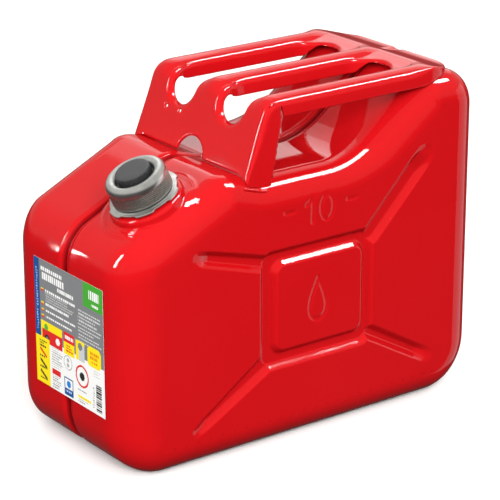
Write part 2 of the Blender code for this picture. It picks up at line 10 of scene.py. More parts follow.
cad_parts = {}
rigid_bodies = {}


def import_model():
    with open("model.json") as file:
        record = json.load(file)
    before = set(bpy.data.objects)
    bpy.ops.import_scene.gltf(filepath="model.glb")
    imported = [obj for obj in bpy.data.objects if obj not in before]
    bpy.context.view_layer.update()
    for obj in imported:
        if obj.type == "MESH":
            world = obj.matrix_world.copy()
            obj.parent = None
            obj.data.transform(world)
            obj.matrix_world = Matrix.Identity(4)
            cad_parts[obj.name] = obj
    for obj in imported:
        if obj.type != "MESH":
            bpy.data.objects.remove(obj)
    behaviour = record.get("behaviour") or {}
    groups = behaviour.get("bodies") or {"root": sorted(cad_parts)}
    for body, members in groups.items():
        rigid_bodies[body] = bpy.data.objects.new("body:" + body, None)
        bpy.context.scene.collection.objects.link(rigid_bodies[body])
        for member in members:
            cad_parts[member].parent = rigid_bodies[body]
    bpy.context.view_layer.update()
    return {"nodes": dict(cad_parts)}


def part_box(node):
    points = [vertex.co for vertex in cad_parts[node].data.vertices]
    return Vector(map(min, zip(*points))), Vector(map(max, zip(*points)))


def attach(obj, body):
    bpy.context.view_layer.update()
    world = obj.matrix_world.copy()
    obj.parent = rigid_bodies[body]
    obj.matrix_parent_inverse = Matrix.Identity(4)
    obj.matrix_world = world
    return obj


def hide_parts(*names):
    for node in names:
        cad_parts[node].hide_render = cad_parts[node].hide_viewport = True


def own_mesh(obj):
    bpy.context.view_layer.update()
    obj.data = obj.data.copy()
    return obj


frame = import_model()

MM = 0.001
TURN = 2 * math.pi

# ---- sizes in millimetres, taken from the frame where it gives them --------
near_low, near_high = [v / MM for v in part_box("body_shell_near")]
handle_low, handle_high = [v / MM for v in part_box("handle_pressing")]
LENGTH = near_high.x - near_low.x
WIDTH = -2 * near_low.y
HUMP_Z = near_high.z
ROOF_Z = 216.0
CREST = (-73.0, 225.0)
SHOULDER_Z = 177.5
SHEET_GAUGE = 0.9
EDGE_RADIUS = 22.0                          # rounding from the top and bottom to a broad side
FRONT_RADIUS = 34.0                         # rounding from the front end to a broad side
REAR_RADIUS = 26.0                          # rounding from the rear end to a broad side
GROOVE_DEPTH = 5.4
GROOVE_HALF = 8.5
GROOVE_RINGS = (0.15, 1.3, 2.3, 2.8, 3.2, 3.6, 4.0, 4.4, 4.8, 5.2, 5.6, 6.2, 6.9, 7.7, GROOVE_HALF)
BODY_CORNERS = (                            # x, z and rounding of each corner of the side view
    (-LENGTH / 2, 0, 38), (-LENGTH / 2, SHOULDER_Z, 38), (*CREST, 26), (-42, ROOF_Z, 30),
    (50, ROOF_Z, 75), (119.5, HUMP_Z, 28), (LENGTH / 2, HUMP_Z, 30), (LENGTH / 2, 0, 44))

PAD = (-32.5, 49.5, 78.5, 147.0)            # flat of the pad: x0, x1, z0, z1
CHANNEL = (-48.5, 61.0, 63.5, 161.0)        # outer edge of the recess round it
PAD_RADIUS = 7
CHANNEL_RADIUS = 11
CHANNEL_DEPTH = 5.0
ARM_DEPTH = 4.7
WALL_RUN = 4.3                              # sideways run of a recess wall
ARMS = (                                    # start, end, half width at the start and at the end
    ((-46, 152.5), (-105, 169.6), 7.2, 6.4), ((-43, 71), (-108, 30.5), 8.4, 4.9),
    ((59, 154.5), (112, 209), 8.6, 9.6), ((59.5, 72), (119, 38), 6.6, 6.3))
MARK_Z = 188                                # height of the dashes beside the capacity mark
MARK_DEPTH = 0.45
DROP = (7, 113)                             # middle of the drop on the pad
DROP_DEPTH = 0.5
PANEL_SPACING = 0.7                         # between mesh points on the walls of the embossing

SLOPE = math.atan2(CREST[1] - SHOULDER_Z, CREST[0] + LENGTH / 2)
NECK_X, NECK_Y = -119.6, -38.9
NECK = Vector((NECK_X, NECK_Y, SHOULDER_Z + math.tan(SLOPE) * (NECK_X + LENGTH / 2)))
FILLER = Matrix.Translation(NECK * MM) @ Matrix.Rotation(-SLOPE, 4, 'Y')

CAMERA_AZIMUTH = math.radians(36.6)         # the camera stands towards -X and -Y
CAMERA_HEIGHT = math.radians(19.96)
CAMERA_DISTANCE = 1813 * MM
CAMERA_LENS = 164.4
AIM_RIGHT, AIM_HEIGHT = 2.06, 130
LOOK_AT = MM * Vector((AIM_RIGHT * math.cos(CAMERA_AZIMUTH), -AIM_RIGHT * math.sin(CAMERA_AZIMUTH),
                       AIM_HEIGHT))


# ---- small helpers ----------------------------------------------------------
def smooth(low, high, value):
    """An S-shaped rise from 0 at low to 1 at high."""
    t = np.clip((value - low) / (high - low), 0, 1)
    return t * t * (3 - 2 * t)


def ramp(low, high, value, fillet=0.16):
    """A straight rise from 0 to 1 with a small rounding at both ends."""
    t = (value - low) / (high - low)

    def area(s):
        return np.where(s < 0, 0, np.where(s < 1, s * s / 2, s - 0.5))

    return (area(t + fillet) - area(t - fillet)) / (2 * fillet)


def soft_max(a, b, blend):
    """The larger of two values, with the change-over blended."""
    h = np.clip(0.5 + 0.5 * (a - b) / blend, 0, 1)
    return b + (a - b) * h + blend * h * (1 - h)


def round_join(a, b, radius):
    """Intersection of two distance fields whose shared edge is rounded."""
    outside = np.hypot(np.maximum(a + radius, 0), np.maximum(b + radius, 0))
    return np.minimum(np.maximum(a, b), -radius) + outside


def add_piece(name, points, faces, material, body, slot, nodes=(), matrix=None, sharp=None):
    """A mesh piece from millimetre points, riding on a CAD body."""
    mesh = bpy.data.meshes.new(name)
    mesh.from_pydata((np.asarray(points) * MM).tolist(), [], faces)
    mesh.validate()
    mesh.shade_smooth()
    if sharp:
        mesh.set_sharp_from_angle(angle=math.radians(sharp))
    mesh.materials.append(material)
    obj = bpy.data.objects.new(name, mesh)
    bpy.context.scene.collection.objects.link(obj)
    if matrix:
        obj.matrix_world = matrix
    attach(obj, body)
    if nodes:
        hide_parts(*nodes)
    return obj


def grid_faces(rows, columns, wrap_rows=False, wrap_columns=True):
    """Quads between the points of neighbouring rows."""
    faces = []
    for i in range(rows if wrap_rows else rows - 1):
        a, b = i * columns, (i + 1) % rows * columns
        for j in range(columns if wrap_columns else columns - 1):
            k = (j + 1) % columns
            faces.append((a + j, a + k, b + k, b + j))
    return faces


def turned(profile, sides, radius_of=None, height_of=None):
    """A closed (radius, height) profile turned about Z; the two functions may shape it."""
    angle = np.linspace(0, TURN, sides, endpoint=False)[:, None]
    r = np.array([p[0] for p in profile])[None, :] + 0 * angle
    h = np.array([p[1] for p in profile])[None, :] + 0 * angle
    shaped_r = radius_of(angle, r, h) if radius_of else r
    shaped_h = height_of(angle, r, h) if height_of else h
    points = np.stack([shaped_r * np.cos(angle), shaped_r * np.sin(angle), shaped_h], -1)
    faces = [(b, c, d, a) for a, b, c, d in grid_faces(sides, len(profile), wrap_rows=True)]
    return points.reshape(-1, 3), faces


def arc(centre, radius, start, end, steps):
    """Profile points on an arc, angles in degrees."""
    return [(centre[0] + radius * math.cos(math.radians(start + (end - start) * k / steps)),
             centre[1] + radius * math.sin(math.radians(start + (end - start) * k / steps)))
            for k in range(steps + 1)]


# ---- materials --------------------------------------------------------------
class Shader:
    """A Principled material with a few helpers for procedural detail."""

    def __init__(self, name, color, roughness, metallic=0.0):
        self.material = bpy.data.materials.new(name)
        self.material.use_nodes = True
        self.nodes = self.material.node_tree.nodes
        self.links = self.material.node_tree.links
        self.principled = self.nodes["Principled BSDF"]
        self.set("Base Color", (*color, 1))
        self.set("Roughness", roughness)
        self.set("Metallic", metallic)
        self.coordinates = self.nodes.new("ShaderNodeTexCoord").outputs["Object"]
        self.normal = None

    def set(self, name, value):
        self.principled.inputs[name].default_value = value

    def noise(self, scale, detail=2.0, stretch=(1, 1, 1), roughness=0.5):
        mapping = self.nodes.new("ShaderNodeMapping")
        mapping.inputs["Scale"].default_value = stretch
        self.links.new(self.coordinates, mapping.inputs["Vector"])
        noise = self.nodes.new("ShaderNodeTexNoise")
        noise.inputs["Scale"].default_value = scale
        noise.inputs["Detail"].default_value = detail
        noise.inputs["Roughness"].default_value = roughness
        self.links.new(mapping.outputs["Vector"], noise.inputs["Vector"])
        return noise.outputs["Fac"]

    def ramp(self, source, low, high, target, stops=(0.3, 0.7)):
        """Drives a Principled input between two values or colours."""
        ramp = self.nodes.new("ShaderNodeValToRGB")
        for element, stop, value in zip(ramp.color_ramp.elements, stops, (low, high)):
            element.position = stop
            element.color = (*value, 1) if hasattr(value, "__len__") else (value, value, value, 1)
        self.links.new(source, ramp.inputs["Fac"])
        self.links.new(ramp.outputs["Color"], self.principled.inputs[target])

    def bump(self, source, distance):
        bump = self.nodes.new("ShaderNodeBump")
        bump.inputs["Distance"].default_value = distance
        self.links.new(source, bump.inputs["Height"])
        if self.normal:
            self.links.new(self.normal, bump.inputs["Normal"])
        self.normal = bump.outputs["Normal"]
        self.links.new(self.normal, self.principled.inputs["Normal"])


def paint(name):
    """Glossy red stove enamel: faint orange peel and slightly wavy sheet under it."""
    shader = Shader(name, (0.46, 0.004, 0.008), 0.10)
    shader.set("Specular IOR Level", 0.15)
    shader.ramp(shader.noise(7, 3), (0.45, 0.0040, 0.006), (0.47, 0.0055, 0.008), "Base Color")
    shader.ramp(shader.noise(60, 4), 0.02, 0.045, "Roughness")
    shader.bump(shader.noise(26, 1), 0.00005)
    shader.bump(shader.noise(650, 1), 0.000006)
    return shader


def body_paint():
    """The same enamel, with painted shade darkening the floor of the seam's groove."""
    # Painted shade: the base colour turns near-black red within 2.8 mm of the seam and is plain enamel again
    # at 4.6 mm.
    painted_shade_edge, unshaded_edge = 2.8 * MM, 4.6 * MM
    painted_shade = (0.10, 0.002, 0.003, 1)
    shader = paint("red_enamel_body")
    split = shader.nodes.new("ShaderNodeSeparateXYZ")
    shader.links.new(shader.coordinates, split.inputs["Vector"])
    away = shader.nodes.new("ShaderNodeMath")
    away.operation = 'ABSOLUTE'
    shader.links.new(split.outputs["Y"], away.inputs[0])
    unshaded = shader.nodes.new("ShaderNodeMapRange")
    unshaded.inputs["From Min"].default_value = painted_shade_edge
    unshaded.inputs["From Max"].default_value = unshaded_edge
    shader.links.new(away.outputs["Value"], unshaded.inputs["Value"])
    mix = shader.nodes.new("ShaderNodeMix")
    mix.data_type = 'RGBA'
    mix.inputs["A"].default_value = painted_shade
    enamel = shader.principled.inputs["Base Color"].links[0].from_socket
    shader.links.new(unshaded.outputs["Result"], mix.inputs["Factor"])
    shader.links.new(enamel, mix.inputs["B"])
    shader.links.new(mix.outputs["Result"], shader.principled.inputs["Base Color"])
    return shader.material


def satin_steel():
    """Zinc-plated steel of the cap, with fine turning marks round its axis."""
    shader = Shader("satin_steel", (0.60, 0.61, 0.58), 0.32, 1.0)
    shader.ramp(shader.noise(90, 3), (0.42, 0.425, 0.41), (0.58, 0.585, 0.57), "Base Color")
    shader.ramp(shader.noise(220, 4), 0.33, 0.43, "Roughness")
    shader.bump(shader.noise(700, 2, (0.3, 0.3, 6)), 0.00002)
    return shader.material


def knurled_steel():
    """The same plating, painted darker over the whole knurled band as shade for its grooves."""
    # Painted shade: the band's base colour sits well below the plain plating of the rest of the ring.
    shader = Shader("knurled_steel", (0.42, 0.40, 0.36), 0.38, 1.0)
    shader.ramp(shader.noise(900, 3), (0.34, 0.325, 0.295), (0.56, 0.54, 0.50), "Base Color")
    shader.bump(shader.noise(1500, 2), 0.00003)
    return shader.material


def dark_steel():
    """Brushed dark grey metal of the button."""
    shader = Shader("brushed_dark_steel", (0.12, 0.123, 0.13), 0.36, 0.75)
    streaks = shader.noise(260, 4, (0.35, 7, 1), 0.7)
    shader.ramp(streaks, (0.045, 0.047, 0.050), (0.095, 0.097, 0.10), "Base Color")
    shader.ramp(streaks, 0.30, 0.46, "Roughness")
    shader.bump(streaks, 0.00003)
    return shader.material


def plain_metal(name, color, roughness):
    """Mottled bare metal."""
    shader = Shader(name, color, roughness, 1.0)
    lighter = tuple(min(1, c * 1.18) for c in color)
    shader.ramp(shader.noise(120, 3), color, lighter, "Base Color")
    shader.bump(shader.noise(500, 2), 0.00002)
    return shader.material


def rubber():
    """Matt black rubber."""
    shader = Shader("fuel_rubber", (0.02, 0.02, 0.02), 0.75)
    shader.ramp(shader.noise(300, 2), 0.65, 0.85, "Roughness")
    shader.bump(shader.noise(900, 2), 0.00003)
    return shader.material


def printed_film():
    """Satin film whose print colours are stored on the mesh."""
    shader = Shader("printed_film", (0.8, 0.8, 0.8), 0.35)
    ink = shader.nodes.new("ShaderNodeVertexColor")
    ink.layer_name = "print"
    shader.links.new(ink.outputs["Color"], shader.principled.inputs["Base Color"])
    shader.ramp(shader.noise(200, 2), 0.30, 0.42, "Roughness")
    shader.bump(shader.noise(120, 2), 0.00004)
    return shader.material


# ---- body pressings ---------------------------------------------------------
def rounded_outline(corners, spacing):
    """Evenly spaced points and outward normals of a clockwise outline with rounded corners."""
    points, normals = [], []
    count = len(corners)

    def straight(end, normal):
        start = points[-1]
        pieces = int((end - start).length / spacing)
        for k in range(1, pieces):
            points.append(start.lerp(end, k / pieces))
            normals.append(normal)

    for i, (x, z, radius) in enumerate(corners):
        corner = Vector((x, z))
        before = (corner - Vector(corners[i - 1][:2])).normalized()
        after = (Vector(corners[(i + 1) % count][:2]) - corner).normalized()
        turn = before.angle_signed(after)
        normal = Vector((-before.y, before.x))
        side = math.copysign(1.0, turn)
        centre = corner - before * radius * abs(math.tan(turn / 2)) - normal * side * radius
        if points:
            straight(centre + normal * side * radius, normal)
        steps = max(int(abs(turn) * radius / spacing), int(abs(turn) / math.radians(4)))
        for k in range(steps + 1):
            swung = Matrix.Rotation(-turn * k / steps, 2) @ normal
            points.append(centre + swung * side * radius)
            normals.append(swung)
    straight(points[0], normals[0])
    return np.array(points), np.array(normals)


OUTLINE, OUTLINE_NORMAL = rounded_outline(BODY_CORNERS, 1.6)


def roof_height(x, y):
    """Height of the can's upper surface, away from its end walls."""
    top = OUTLINE[(OUTLINE_NORMAL[:, 1] > 0.2)]
    top = top[np.argsort(top[:, 0])]
    over = np.clip(np.abs(y) - (WIDTH / 2 - EDGE_RADIUS), 0, EDGE_RADIUS)
    return np.interp(x, top[:, 0], top[:, 1]) - EDGE_RADIUS + np.sqrt(EDGE_RADIUS ** 2 - over ** 2)


def box_distance(x, z, box, radius):
    """Signed distance to a rectangle with rounded corners."""
    x0, x1, z0, z1 = box
    dx = np.abs(x - (x0 + x1) / 2) - (x1 - x0) / 2 + radius
    dz = np.abs(z - (z0 + z1) / 2) - (z1 - z0) / 2 + radius
    return np.hypot(np.maximum(dx, 0), np.maximum(dz, 0)) + np.minimum(np.maximum(dx, dz), 0) - radius


def segment_distance(x, z, start, end):
    """Distance to a straight stroke, and how far along it the nearest point lies."""
    ax, az = start
    bx, bz = end
    share = np.clip(((x - ax) * (bx - ax) + (z - az) * (bz - az)) / ((bx - ax) ** 2 + (bz - az) ** 2), 0, 1)
    return np.hypot(x - ax - share * (bx - ax), z - az - share * (bz - az)), share


def share_on(x, z, start, end):
    """How far along the line through two points a point lies, running on past both."""
    run, rise = end[0] - start[0], end[1] - start[1]
    return ((x - start[0]) * run + (z - start[1]) * rise) / (run ** 2 + rise ** 2)


def stroke(x, z, points, half_width, depth):
    """A shallow engraved line through points."""
    blur = 1.1
    nearest = np.full_like(x, 1e3)
    for start, end in zip(points, points[1:]):
        nearest = np.minimum(nearest, segment_distance(x, z, start, end)[0])
    return depth * (1 - smooth(half_width - blur, half_width + blur, nearest))


def channels(x, z):
    """Depth of the channel round the pad and of the four arms that run out from it."""
    pad = box_distance(x, z, PAD, PAD_RADIUS)
    rim = box_distance(x, z, CHANNEL, CHANNEL_RADIUS)
    depth = CHANNEL_DEPTH * ramp(0, WALL_RUN, pad) * (1 - ramp(-WALL_RUN, 0, rim))
    for start, end, width_start, width_end in ARMS:
        distance, share = segment_distance(x, z, start, end)
        half = width_start + (width_end - width_start) * share
        arm = ARM_DEPTH * (1 - ramp(half - WALL_RUN, half, distance))
        fade = 1 - 0.85 * smooth(0.80, 1.04, share_on(x, z, start, end))
        arm = arm * ramp(-1.0, WALL_RUN - 1.0, pad) * fade
        blend = 0.7 * ramp(0.1, 1.2, depth + arm) + 0.01
        depth = np.where(depth + arm < 0.02, 0, soft_max(depth, arm, blend))
    return depth


def side_recess(x, z, reading):
    """Depth of a broad side's embossing, whose marks read along +X for 1 and along -X for -1."""
    depth = channels(x, z)
    middle = (PAD[0] + PAD[1]) / 2
    across = middle + reading * (x - middle)
    dashes = [((start, MARK_Z), (start + 8, MARK_Z)) for start in (-25, 35)]
    one = ((-5, MARK_Z + 3), (1, MARK_Z + 8), (1, MARK_Z - 12))
    zero = [(15 + 6 * math.cos(a), MARK_Z - 2 + 10 * math.sin(a)) for a in np.linspace(0, TURN, 25)]
    for points in (*dashes, one, zero):
        depth = np.maximum(depth, stroke(across, z, points, 1.5, MARK_DEPTH))
    drop = [(DROP[0] + 11 * math.sin(a) * math.sin(a / 2) ** 1.3, DROP[1] + 17 * math.cos(a))
            for a in np.linspace(0, TURN, 41)]
    return np.maximum(depth, stroke(across, z, drop, 1.7, DROP_DEPTH))


def groove_depth(y):
    """Depth of the seam's groove, whose walls stand in two steps."""
    away = np.abs(y)
    return GROOVE_DEPTH * (1 - 0.78 * smooth(2.2, 4.8, away) - 0.22 * smooth(4.2, 7.7, away))


def panel_points(ring, spacing):
    """Points inside the flat of the broad side, close together on the embossing's walls."""
    x0, z0 = ring.min(0)
    x1, z1 = ring.max(0)
    xs, zs = np.meshgrid(np.arange(x0, x1, spacing), np.arange(z0, z1, spacing))
    fine = np.zeros(xs.shape, bool)
    for reading in (1, -1):
        depth = side_recess(xs, zs, reading)
        for axis in (0, 1):
            for shift in (-2, -1, 1, 2):
                fine |= np.abs(depth - np.roll(depth, shift, axis)) > 1e-3
    fine[::4, ::4] = True
    grid = np.stack([xs[fine], zs[fine]], 1)
    ring_x, ring_z = ring.T
    run, rise = np.roll(ring_x, -1) - ring_x, np.roll(ring_z, -1) - ring_z
    rise = np.where(np.abs(rise) < 1e-9, 1e-9, rise)
    keep = []
    for part in np.array_split(grid, 40):
        x, z = part[:, :1], part[:, 1:]
        crosses = (ring_z > z) != (np.roll(ring_z, -1) > z)
        inside = (crosses & (x < ring_x + (z - ring_z) / rise * run)).sum(1) % 2 == 1
        gap = np.hypot(x - ring_x, z - ring_z).min(1)
        keep.append(part[inside & (gap > spacing * 0.7)])
    return np.concatenate(keep)


def half_shell():
    """Points and faces of the far half's outer skin, before its recesses."""
    end_radius = np.where(OUTLINE_NORMAL[:, 0] < 0, FRONT_RADIUS, REAR_RADIUS)
    radius = EDGE_RADIUS + (end_radius - EDGE_RADIUS) * OUTLINE_NORMAL[:, 0] ** 2
    reach = WIDTH / 2 - radius
    rings = []

    def ring(y, depth):
        flat = OUTLINE - OUTLINE_NORMAL * (depth + 0 * radius)[:, None]
        rings.append(np.stack([flat[:, 0], y + 0 * radius, flat[:, 1]], 1))

    for y in GROOVE_RINGS:
        ring(y, groove_depth(y))
    flats, rounds = 26, 20
    for k in range(1, flats + 1):
        ring(GROOVE_HALF + (reach - GROOVE_HALF) * k / flats, 0)
    for k in range(1, rounds + 1):
        t = math.pi / 2 * k / rounds
        ring(reach + radius * math.sin(t), radius * (1 - math.cos(t)))

    count = len(OUTLINE)
    base = len(rings) * count
    last = rings[-1][:, (0, 2)]
    flat = [Vector(p) for p in np.concatenate([last, panel_points(last, PANEL_SPACING)])]
    verts, _, panel_faces, sources = delaunay_2d_cdt(flat, [], [list(range(count))], 1, 1e-5)[:4]
    panel = np.array([(v.x, WIDTH / 2, v.y) for v in verts])
    points = np.concatenate([*rings, panel])
    number = []
    for new, found in enumerate(sources):
        on_ring = [s for s in found if s < count]
        number.append(base - count + on_ring[0] if on_ring else base + new)
    faces = grid_faces(len(rings), count)
    faces += [tuple(number[v] for v in face)[::-1] for face in panel_faces]
    return points, faces


def drop_unused(points, faces):
    """The same faces with the points that none of them uses left out."""
    used = np.unique(np.concatenate([np.asarray(f) for f in faces]))
    renumber = np.full(len(points), -1)
    renumber[used] = np.arange(len(used))
    return points[used], [tuple(int(renumber[v]) for v in f) for f in faces]


def build_shells(material):
    """The two pressed halves; the near one is pierced for the filler."""
    hole_radius, hole_floor = 19.5, 150
    points, faces = drop_unused(*half_shell())
    side = np.clip((points[:, 1] - (WIDTH / 2 - EDGE_RADIUS)) / EDGE_RADIUS, 0, 1)

    def pressed(reading):
        depth = side_recess(points[:, 0], points[:, 2], reading) * side
        return np.stack([points[:, 0], points[:, 1] - depth, points[:, 2]], 1)

    far = add_piece("body_shell_far_skin", pressed(-1), faces, material, "can", "red_paint",
                    ("body_shell_far",))
    near_points = pressed(1) * (1, -1, 1)
    to_filler = np.array(FILLER.inverted())
    from_axis = np.hypot(*(near_points * MM @ to_filler[:2, :3].T + to_filler[:2, 3]).T) / MM
    hole = (from_axis < hole_radius) & (near_points[:, 2] > hole_floor)
    near_faces = [f[::-1] for f in faces if not any(hole[v] for v in f)]
    near = add_piece("body_shell_near_skin", *drop_unused(near_points, near_faces), material,
                     "can", "red_paint", ("body_shell_near",))
    for shell in (far, near):
        solid = shell.modifiers.new("sheet", 'SOLIDIFY')
        solid.thickness = SHEET_GAUGE * MM
        solid.offset = -1


# ---- handle -----------------------------------------------------------------
FOOT = (-62.0, 204.0)                       # foot of the front plate in the side view
BAR_TOP = handle_high.z - 0.15
LEAN = np.array((27.0, 73.0)) / math.hypot(27, 73)
BEND = 18.0                                 # radius between the front plate and the bars
BEND_CENTRE = (FOOT[0] + (BEND + LEAN[0] * (BAR_TOP - BEND - FOOT[1])) / LEAN[1], BAR_TOP - BEND)
BEND_START = LEAN[0] * (BEND_CENTRE[0] - FOOT[0]) + LEAN[1] * (BEND_CENTRE[1] - FOOT[1])
PLATE_ANGLE = math.atan2(LEAN[0], -LEAN[1])
TOP_START = BEND_START + BEND * (PLATE_ANGLE - math.pi / 2)
HANDLE_HALF = handle_high.y
REAR_Z = HUMP_Z + 1.8
REAR_END = handle_high.x
REAR_CORNER = 32.0
SLOT_CENTRE = 32.5
SLOT_FOOT = 51.0                            # lower end of a slot, measured up the front plate
SLOT_END = TOP_START + 110 - BEND_CENTRE[0]
SLOT_FRONT_HALF = 15.5
SLOT_REAR_HALF = 22.0
SHEET = 1.8
BAR_PITCH = 65.0
BAR_HALF = 10.5
CROWN = 4.0                                 # how far a bar's top falls towards its edges
NOTCH = TOP_START - 3.0                     # relief between a cheek and its bar's side
ARCH_TOP, ARCH_HALF = 15.0, 17.0            # opening over the seam
HOLE_UP, HOLE_RADIUS = 46.0, 1.5            # two small holes in the front plate


def handle_field(x, y, z):
    """Signed distance, in millimetres, to the stamped handle."""
    width = np.abs(y)
    step = smooth(118, 151, x)
    dimple = 1.2 * smooth(128, 146, x) * (1 - smooth(0.5, 1.5 + 0.22 * np.maximum(x - 126, 0), width))
    roof = z - (BAR_TOP + (REAR_Z - BAR_TOP) * step - dimple)
    plate = LEAN[0] * (z - FOOT[1]) - LEAN[1] * (x - FOOT[0])
    wx, wz = x - BEND_CENTRE[0], z - BEND_CENTRE[1]
    angle = np.arctan2(wz, wx)
    angle = np.where(angle < -math.pi / 2, angle + 2 * math.pi, angle)
    out = np.where(angle < math.pi / 2, roof, np.where(angle > PLATE_ANGLE, plate, np.hypot(wx, wz) - BEND))
    along = np.where(
        angle < math.pi / 2, TOP_START + wx,
        np.where(angle > PLATE_ANGLE, LEAN[0] * (x - FOOT[0]) + LEAN[1] * (z - FOOT[1]),
                 BEND_START + BEND * (PLATE_ANGLE - angle)))

    off_bar = np.minimum(np.minimum(width, np.abs(width - BAR_PITCH)), BAR_HALF)
    crown = CROWN * (off_bar / BAR_HALF) ** 2 * smooth(58, 92, along) * (1 - smooth(104, 128, x))
    top = out + crown

    aside = np.abs(width - SLOT_CENTRE)
    widening = smooth(SLOT_FOOT + 12, SLOT_FOOT + 52, along)
    slot = aside - SLOT_FRONT_HALF - (SLOT_REAR_HALF - SLOT_FRONT_HALF) * widening
    before = along - SLOT_FOOT - SLOT_FRONT_HALF
    beyond = along - SLOT_END + SLOT_REAR_HALF
    slot = np.where(before < 0, np.hypot(before, aside) - SLOT_FRONT_HALF, slot)
    slot = np.where(beyond > 0, np.hypot(beyond, aside) - SLOT_REAR_HALF, slot)
    edge = width - HANDLE_HALF - 2.0 * (1 - smooth(0, 60, along))
    end = round_join(edge, x - REAR_END, REAR_CORNER)

    front = round_join(top, -slot, 5.5 - 2.3 * smooth(60, 95, along))
    front = round_join(front, end, 6.0 - 2.8 * smooth(56, 84, along) - 1.2 * smooth(112, 130, x))

    slot_depth = 6.0 + 9.0 * smooth(62, 96, along) * (1 - smooth(96, 108, x))
    side_depth = 24.0 - 9.0 * smooth(8, 86, along) - 9.0 * np.exp(-((along - NOTCH) / 2.2) ** 2)
    side_rim = smooth(HANDLE_HALF - 12, HANDLE_HALF - 6, width)
    rim = np.maximum(side_rim, smooth(REAR_END - 12, REAR_END - 6, x))
    depth = slot_depth + (side_depth - slot_depth) * rim
    sheet = np.maximum(np.maximum(front, -(front + SHEET)), -(out + depth))

    into = np.minimum(slot, -edge)
    lip = np.maximum(np.maximum(-(out + depth), out + depth - SHEET), front)
    lip = np.maximum(lip, np.maximum(into - 7.0, np.maximum(94 - along, x - 103)))
    sheet = np.minimum(sheet, lip)

    arch = np.where(along > ARCH_TOP, np.hypot(width, along - ARCH_TOP), width) - ARCH_HALF
    sheet = np.maximum(sheet, -arch)
    for hole_y in (44, 26):
        hole = HOLE_RADIUS - np.hypot(y - hole_y, along - HOLE_UP)
        sheet = np.maximum(sheet, np.where(along < HOLE_UP + 14, hole, -9))
    return np.maximum(sheet, roof_height(x, y) + 0.35 - z)


def surface_net(field, low, high, step):
    """A quad skin round the negative region of a field."""
    axes = [np.arange(a, b + step, step) for a, b in zip(low, high)]
    x, y, z = np.meshgrid(*axes, indexing="ij")
    value = field(x, y, z)
    inside = value < 0
    cells = tuple(n - 1 for n in value.shape)

    def corner(array, i, j, k):
        return array[i:cells[0] + i, j:cells[1] + j, k:cells[2] + k]

    corners = [(i, j, k) for i in (0, 1) for j in (0, 1) for k in (0, 1)]
    filled = sum(corner(inside, *c).astype(np.int8) for c in corners)
    active = (filled > 0) & (filled < 8)
    where = np.argwhere(active)
    total = np.zeros((len(where), 3))
    hits = np.zeros(len(where))
    for a in corners:
        for axis in range(3):
            if a[axis]:
                continue
            b = tuple(1 if n == axis else c for n, c in enumerate(a))
            va, vb = corner(value, *a)[active], corner(value, *b)[active]
            crossed = (va < 0) != (vb < 0)
            share = np.where(crossed, va / np.where(crossed, va - vb, 1), 0)
            spot = np.array(a)[None, :] + share[:, None] * (np.array(b) - np.array(a))[None, :]
            total += spot * crossed[:, None]
            hits += crossed
    points = (where + total / hits[:, None]) * step + np.array([a[0] for a in axes])
    number = np.full(cells, -1)
    number[active] = np.arange(len(where))

    faces = []
    for axis in range(3):
        u, v = (axis + 1) % 3, (axis + 2) % 3
        span = [slice(1, -1)] * 3
        span[axis] = slice(0, -1)
        ahead = list(span)
        ahead[axis] = slice(1, None)
        first, second = inside[tuple(span)], inside[tuple(ahead)]
        spots = np.argwhere(first != second)
        spots[:, u] += 1
        spots[:, v] += 1
        flip = second[first != second]
        quad = []
        for du, dv in ((1, 1), (0, 1), (0, 0), (1, 0)):
            cell = spots.copy()
            cell[:, u] -= du
            cell[:, v] -= dv
            quad.append(number[cell[:, 0], cell[:, 1], cell[:, 2]])
        quad = np.stack(quad, 1)
        quad[flip] = quad[flip][:, ::-1]
        faces.append(quad)
    faces = np.concatenate(faces)
    return settle(field, points, 3), faces.tolist()


def settle(field, points, rounds):
    """Moves points onto the field's zero surface."""
    small, farthest = 0.05, 0.4
    for _ in range(rounds):
        x, y, z = points.T
        value = field(x, y, z)
        slope = np.stack([field(x + small, y, z) - value, field(x, y + small, z) - value,
                          field(x, y, z + small) - value], 1) / small
        size = np.maximum((slope ** 2).sum(1), 0.2)
        shift = slope * (value / size)[:, None]
        points = points - np.clip(shift, -farthest, farthest)
    return points


def build_handle(material):
    """The stamped sheet with its three bars, kept inside the box of the CAD handle."""
    margin = 2.6
    low = (FOOT[0] - 5, -HANDLE_HALF - margin, FOOT[1] + 1)
    high = (REAR_END + margin, HANDLE_HALF + margin, BAR_TOP + margin)
    points, faces = surface_net(handle_field, low, high, 1.0)
    points = np.clip(points, np.array(handle_low), np.array(handle_high))
    add_piece("handle_stamping", points, faces, material, "can", "red_paint", ("handle_pressing",))


# ---- welds ------------------------------------------------------------------
def bead(path, radius, ripple, closed=False):
    """A weld bead along a path, with the ripples of its puddles."""
    count = len(path)
    sides = 10
    ahead = np.roll(path, -1, 0) - np.roll(path, 1, 0)
    if not closed:
        ahead[0], ahead[-1] = path[1] - path[0], path[-1] - path[-2]
    ahead /= np.linalg.norm(ahead, axis=1)[:, None]
    across = np.cross(ahead, (0.0, 1.0, 0.0) if closed else (0.123, 0.31, 0.94))
    across /= np.linalg.norm(across, axis=1)[:, None]
    lift = np.cross(across, ahead)
    number = np.arange(count)
    size = radius * (1 + ripple * np.abs(np.sin(number * 0.9)))
    if not closed:
        size = size * np.minimum(1, 0.35 + 0.35 * np.minimum(number, count - 1 - number))
    size = size[:, None]
    turns = [TURN * k / sides for k in range(sides)]
    points = [path + across * size * math.cos(a) + lift * size * math.sin(a) for a in turns]
    points = np.stack(points, 1).reshape(-1, 3)
    faces = grid_faces(count, sides, wrap_rows=closed)
    if not closed:
        faces += [tuple(range(sides))[::-1], tuple(range((count - 1) * sides, count * sides))]
    return points, faces


